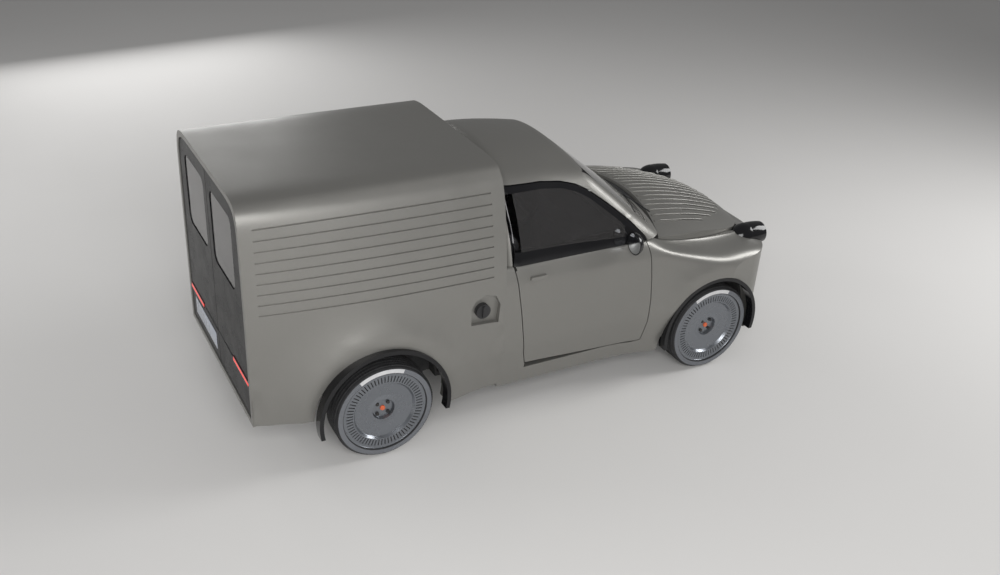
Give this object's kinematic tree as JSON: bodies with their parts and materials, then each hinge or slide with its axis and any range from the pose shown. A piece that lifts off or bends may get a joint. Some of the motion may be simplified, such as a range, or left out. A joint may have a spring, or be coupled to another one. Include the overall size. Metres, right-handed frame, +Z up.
{
  "type": "panel van",
  "caption": "Compact panel van with a ribbed cargo box, rounded cab, barn rear doors and slotted disc wheels.",
  "frame": {"origin": "on the ground under the middle of the van's length and width", "axes": "+X forward to the nose, +Y to the van's left, +Z up"},
  "size_m": [3.865, 1.836, 1.728],
  "materials": {
    "body_paint": "satin metallic",
    "gloss_black": "gloss",
    "black_plastic": "fine grain",
    "glass": "tinted",
    "lamp_glass": "clear",
    "lamp_red": "lit red",
    "underbody": "dark coat",
    "drive_casing": "cast",
    "steel": "coated",
    "dash_plastic": "grained",
    "seat_fabric": "woven",
    "tyre": "rubber",
    "rim": "satin"
  },
  "bodies": {
    "body": {"cargo_roof": "body_paint", "cargo_side_left": "body_paint", "cargo_side_right": "body_paint", "filler_cap": "black_plastic", "cargo_front_wall": "body_paint", "rear_frame": "body_paint", "side_sills": "body_paint", "cab_frame": "body_paint", "windscreen": "glass", "wing_left": "body_paint", "wing_right": "body_paint", "nose_panel": "body_paint", "grille": "gloss_black", "headlamp_pods": "gloss_black", "headlamp_lenses": "lamp_glass", "floor_pan": "underbody", "front_structure": "underbody", "drive_unit": "drive_casing", "rear_axle": "steel", "front_subframe": "steel", "dashboard": "dash_plastic", "seat_left": "seat_fabric", "seat_right": "seat_fabric", "arch_trims": "gloss_black", "cowl_panel": "black_plastic"},
    "bonnet": {"bonnet": "body_paint"},
    "door_left": {"door_left": "body_paint", "door_trim_left": "gloss_black", "door_glass_left": "glass"},
    "door_right": {"door_right": "body_paint", "door_trim_right": "gloss_black", "door_glass_right": "glass"},
    "rear_door_left": {"rear_door_left": "gloss_black", "rear_glass_left": "glass", "rear_lamp_left": "lamp_red"},
    "rear_door_right": {"rear_door_right": "gloss_black", "rear_glass_right": "glass", "rear_lamp_right": "lamp_red"},
    "knuckle_left": {"knuckle_left": "steel"},
    "knuckle_right": {"knuckle_right": "steel"},
    "wheel_front_left": {"tyre_front_left": "tyre", "rim_front_left": "rim"},
    "wheel_front_right": {"tyre_front_right": "tyre", "rim_front_right": "rim"},
    "wheel_rear_left": {"tyre_rear_left": "tyre", "rim_rear_left": "rim"},
    "wheel_rear_right": {"tyre_rear_right": "tyre", "rim_rear_right": "rim"}
  },
  "joints": [
    {"name": "steer_left", "type": "hinge", "parent": "body", "child": "knuckle_left", "pos_m": [1.2925, 0.655, 0.32], "axis": [0, 0, 1], "range_deg": [-35, 35]},
    {"name": "steer_right", "type": "hinge", "parent": "body", "child": "knuckle_right", "pos_m": [1.2925, -0.655, 0.32], "axis": [0, 0, 1], "range_deg": [-35, 35]},
    {"name": "front_wheel_left", "type": "hinge", "parent": "knuckle_left", "child": "wheel_front_left", "pos_m": [1.2925, 0.757, 0.32], "axis": [0, 1, 0], "continuous": true},
    {"name": "rear_wheel_left", "type": "hinge", "parent": "body", "child": "wheel_rear_left", "pos_m": [-1.1675, 0.757, 0.32], "axis": [0, 1, 0], "continuous": true},
    {"name": "door_hinge_left", "type": "hinge", "parent": "body", "child": "door_left", "pos_m": [0.7495, 0.832, 0.65], "axis": [0, 0, -1], "range_deg": [0, 65]},
    {"name": "rear_door_hinge_left", "type": "hinge", "parent": "body", "child": "rear_door_left", "pos_m": [-1.9295, 0.625, 1], "axis": [0, 0, -1], "range_deg": [0, 95]},
    {"name": "front_wheel_right", "type": "hinge", "parent": "knuckle_right", "child": "wheel_front_right", "pos_m": [1.2925, -0.757, 0.32], "axis": [0, 1, 0], "continuous": true},
    {"name": "rear_wheel_right", "type": "hinge", "parent": "body", "child": "wheel_rear_right", "pos_m": [-1.1675, -0.757, 0.32], "axis": [0, 1, 0], "continuous": true},
    {"name": "door_hinge_right", "type": "hinge", "parent": "body", "child": "door_right", "pos_m": [0.7495, -0.832, 0.65], "axis": [0, 0, 1], "range_deg": [0, 65]},
    {"name": "rear_door_hinge_right", "type": "hinge", "parent": "body", "child": "rear_door_right", "pos_m": [-1.9295, -0.625, 1], "axis": [0, 0, 1], "range_deg": [0, 95]},
    {"name": "bonnet_hinge", "type": "hinge", "parent": "body", "child": "bonnet", "pos_m": [0.9325, 0, 1.09], "axis": [0, -1, 0], "range_deg": [0, 55]}
  ]
}
